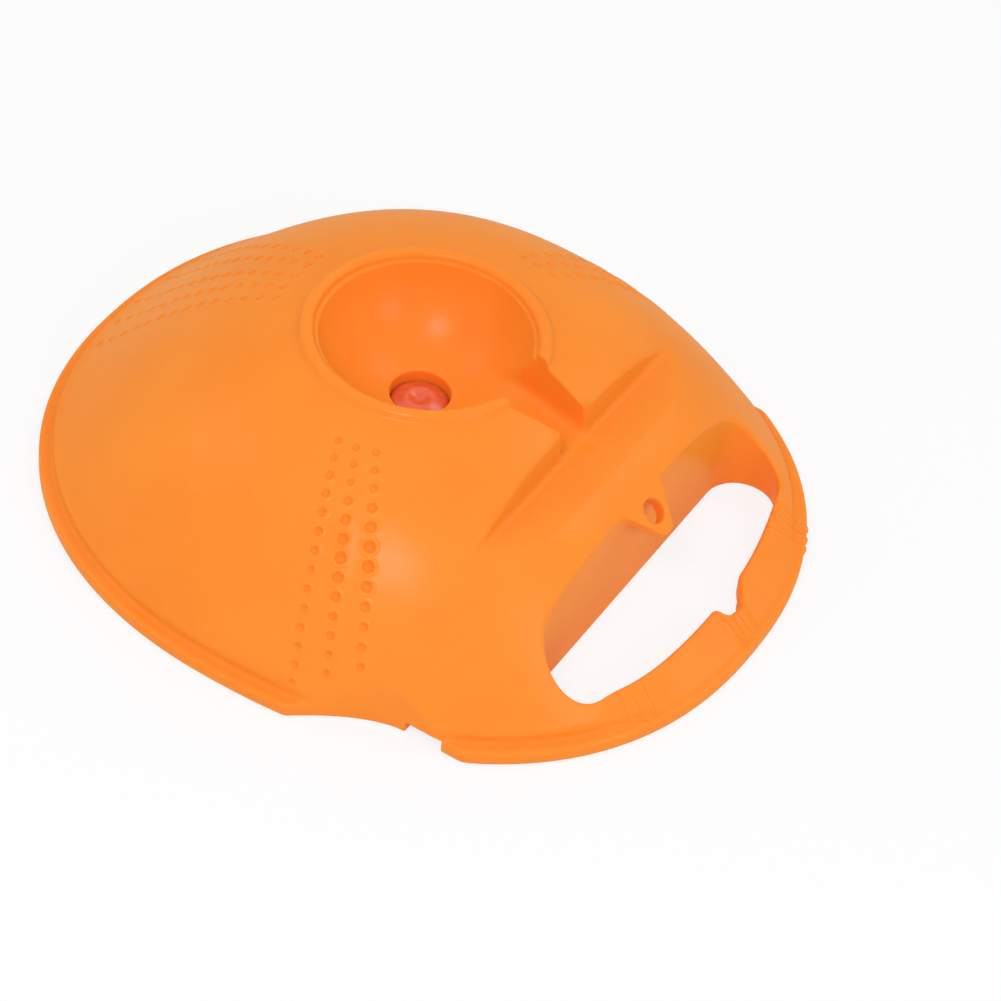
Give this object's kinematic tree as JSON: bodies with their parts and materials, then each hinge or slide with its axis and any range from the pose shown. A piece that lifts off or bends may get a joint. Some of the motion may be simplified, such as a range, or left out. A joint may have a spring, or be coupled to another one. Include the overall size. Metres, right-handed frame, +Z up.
{
  "type": "ball trainer base",
  "caption": "Low hollow moulded floor base with a round ball bowl, a cord channel and tie tab, a carry handle and a push-in fill plug.",
  "frame": {"origin": "on the ground at the middle of the footprint", "axes": "+X towards the carry handle along the long axis, +Z up"},
  "size_m": [0.2648, 0.2368, 0.07],
  "materials": {
    "tank": "satin moulded polyethylene with a fine pebble",
    "plug": "soft translucent glossy stopper"
  },
  "bodies": {
    "tank": {"tank_shell": "tank", "tank_floor": "tank", "ball_bowl": "tank", "carry_handle": "tank", "tie_tab": "tank"},
    "plug": {"filler_plug": "plug"}
  },
  "joints": [
    {"name": "plug_pull", "type": "slide", "parent": "tank", "child": "plug", "axis": [0, 0, 1], "range_m": [0, 0.014]}
  ]
}
